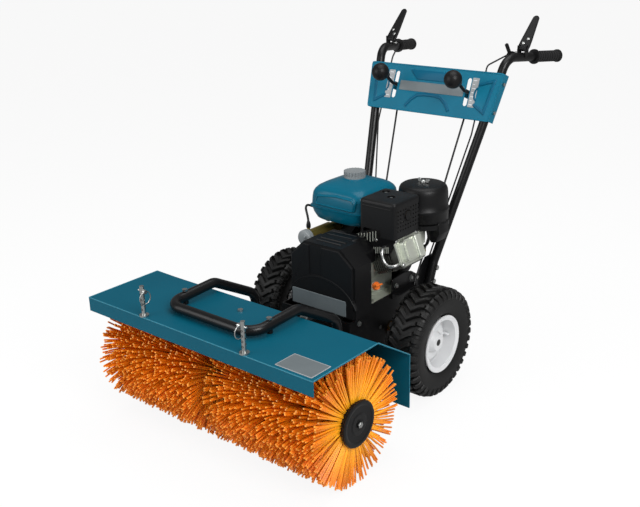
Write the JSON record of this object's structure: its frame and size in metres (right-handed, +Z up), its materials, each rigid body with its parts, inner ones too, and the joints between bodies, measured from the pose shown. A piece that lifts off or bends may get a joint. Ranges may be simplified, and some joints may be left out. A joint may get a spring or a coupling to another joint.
{
  "type": "power brush sweeper",
  "caption": "Walk-behind engine-driven brush sweeper with a hooded swivelling roll brush, two drive wheels, handlebars, clutch paddles and a lever panel.",
  "frame": {"origin": "on the ground midway between the wheels, under the wheel axle", "axes": "+Z up, forward is -Y, +X is the operator's left"},
  "size_m": [0.816, 1.3999, 1.0397],
  "materials": {
    "teal_paint": "gloss",
    "panel_paint": "gloss",
    "black_paint": "satin",
    "black_plastic": "satin",
    "tyre": "matte",
    "rim_paint": "satin",
    "zinc_steel": "satin",
    "dark_steel": "matte",
    "aluminium": "cast",
    "bristle": "matte",
    "rubber": "matte",
    "bronze": "satin",
    "starter_gold": "satin",
    "cap_grey": "satin",
    "orange_plastic": "gloss",
    "muffler_steel": "matte"
  },
  "bodies": {
    "chassis": {"chassis_frame": "black_paint", "axle_bushes": "bronze", "swivel_pins": "zinc_steel", "frame_bolts": "zinc_steel", "drive_chain": "dark_steel", "drive_belt": "rubber", "brush_belt": "rubber", "belt_guard": "black_plastic", "crankcase": "aluminium", "engine_cylinder": "dark_steel", "valve_cover": "aluminium", "fan_housing": "black_plastic", "recoil_starter": "black_plastic", "fuel_tank": "panel_paint", "muffler": "muffler_steel", "muffler_shield": "black_paint", "air_filter_base": "black_plastic", "air_filter_cover": "black_plastic", "carburettor": "aluminium", "starter_motor": "starter_gold", "starter_cable": "rubber", "oil_dipstick": "orange_plastic", "handlebar_left": "black_paint", "handlebar_right": "black_paint", "grip_left": "rubber", "grip_right": "rubber", "control_panel": "panel_paint", "clutch_cables": "rubber"},
    "wheels": {"drive_axle": "dark_steel", "rim_left": "rim_paint", "rim_right": "rim_paint", "tyre_left": "tyre", "tyre_right": "tyre"},
    "head": {"head_carrier": "black_paint", "hood": "teal_paint", "bumper": "black_paint", "head_bolts": "zinc_steel", "hitch_posts": "zinc_steel", "gearbox": "dark_steel"},
    "brush": {"brush_core": "dark_steel", "bristles_left": "bristle", "bristles_right": "bristle", "end_discs": "black_plastic"},
    "pinion": {"pinion_shaft": "dark_steel"},
    "pulley": {"brush_pulley": "dark_steel"},
    "crank": {"crank_pulley": "dark_steel"},
    "disc": {"drive_disc": "zinc_steel"},
    "hex": {"hex_shaft": "zinc_steel"},
    "friction": {"friction_wheel": "rubber"},
    "speed_handle": {"speed_lever": "black_plastic"},
    "speed_link": {"speed_rod": "zinc_steel"},
    "angle_handle": {"angle_lever": "black_plastic"},
    "angle_link": {"angle_rod": "zinc_steel"},
    "left_paddle": {"paddle_left": "black_plastic"},
    "right_paddle": {"paddle_right": "black_plastic"},
    "throttle": {"throttle_lever": "black_plastic"},
    "cap": {"fuel_cap": "cap_grey"},
    "pull_grip": {"starter_grip": "black_plastic"},
    "left_linch": {"linch_pin_left": "zinc_steel"},
    "right_linch": {"linch_pin_right": "zinc_steel"}
  },
  "joints": [
    {"name": "wheel_spin", "type": "hinge", "parent": "chassis", "child": "wheels", "pos_m": [0, 0, 0.165], "axis": [1, 0, 0], "continuous": true},
    {"name": "head_swing", "type": "hinge", "parent": "chassis", "child": "head", "pos_m": [0, -0.25, 0.175], "axis": [0, 0, 1], "range_deg": [-15, 15]},
    {"name": "brush_spin", "type": "hinge", "parent": "head", "child": "brush", "pos_m": [0, -0.517, 0.175], "axis": [1, 0, 0], "continuous": true},
    {"name": "pinion_spin", "type": "hinge", "parent": "head", "child": "pinion", "pos_m": [0, -0.4, 0.175], "axis": [0, 1, 0], "continuous": true},
    {"name": "pulley_spin", "type": "hinge", "parent": "chassis", "child": "pulley", "pos_m": [0, -0.1745, 0.175], "axis": [0, 1, 0], "continuous": true},
    {"name": "crank_spin", "type": "hinge", "parent": "chassis", "child": "crank", "pos_m": [0.022, -0.1745, 0.368], "axis": [0, 1, 0], "continuous": true},
    {"name": "disc_spin", "type": "hinge", "parent": "chassis", "child": "disc", "pos_m": [0, -0.1425, 0.19], "axis": [0, 1, 0], "continuous": true},
    {"name": "hex_spin", "type": "hinge", "parent": "chassis", "child": "hex", "pos_m": [0, -0.0565, 0.19], "axis": [1, 0, 0], "continuous": true},
    {"name": "friction_shift", "type": "slide", "parent": "hex", "child": "friction", "axis": [1, 0, 0], "range_m": [-0.026, 0.026]},
    {"name": "speed_lever_turn", "type": "hinge", "parent": "chassis", "child": "speed_handle", "pos_m": [-0.135, 0.47807, 0.78832], "axis": [1, 0, 0], "range_deg": [-20, 20]},
    {"name": "speed_rod_slide", "type": "slide", "parent": "chassis", "child": "speed_link", "axis": [-0.1638, 0.4731, 0.8657], "range_m": [-0.0175, 0.0175]},
    {"name": "angle_lever_turn", "type": "hinge", "parent": "chassis", "child": "angle_handle", "pos_m": [0.135, 0.47807, 0.78832], "axis": [1, 0, 0], "range_deg": [-21, 21]},
    {"name": "angle_rod_slide", "type": "slide", "parent": "chassis", "child": "angle_link", "axis": [-0.0378, 0.546, 0.8369], "range_m": [-0.0175, 0.0175]},
    {"name": "left_paddle_press", "type": "hinge", "parent": "chassis", "child": "left_paddle", "pos_m": [0.24869, 0.52544, 0.94666], "axis": [-1, 0, 0], "range_deg": [0, 40], "stiffness_Nm_per_rad": 0.6},
    {"name": "right_paddle_press", "type": "hinge", "parent": "chassis", "child": "right_paddle", "pos_m": [-0.24869, 0.52544, 0.94666], "axis": [-1, 0, 0], "range_deg": [0, 40], "stiffness_Nm_per_rad": 0.6},
    {"name": "throttle_turn", "type": "hinge", "parent": "chassis", "child": "throttle", "pos_m": [0.24217, 0.4922, 0.92457], "axis": [0.9813, -0.1924, 0], "range_deg": [-25, 25]},
    {"name": "cap_turn", "type": "hinge", "parent": "chassis", "child": "cap", "pos_m": [-0.042, 0.048, 0.612], "axis": [0, 0, 1], "range_deg": [0, 90]},
    {"name": "starter_pull", "type": "slide", "parent": "chassis", "child": "pull_grip", "axis": [0, 1, 0], "range_m": [0, 0.03]},
    {"name": "left_linch_pull", "type": "slide", "parent": "head", "child": "left_linch", "axis": [-1, 0, 0], "range_m": [0, 0.028]},
    {"name": "right_linch_pull", "type": "slide", "parent": "head", "child": "right_linch", "axis": [1, 0, 0], "range_m": [0, 0.028]}
  ],
  "couplings": [
    {"joint": "pinion_spin", "follows": "brush_spin", "ratio": 3},
    {"joint": "pulley_spin", "follows": "brush_spin", "ratio": 3},
    {"joint": "crank_spin", "follows": "brush_spin", "ratio": 6.9},
    {"joint": "disc_spin", "follows": "brush_spin", "ratio": 5.75},
    {"joint": "hex_spin", "follows": "wheel_spin", "ratio": 2.7692},
    {"joint": "friction_shift", "follows": "speed_lever_turn", "m_per_rad": 0.07},
    {"joint": "speed_rod_slide", "follows": "speed_lever_turn", "m_per_rad": -0.045968},
    {"joint": "angle_lever_turn", "follows": "head_swing", "ratio": 1.3333},
    {"joint": "angle_rod_slide", "follows": "head_swing", "m_per_rad": -0.061291}
  ]
}
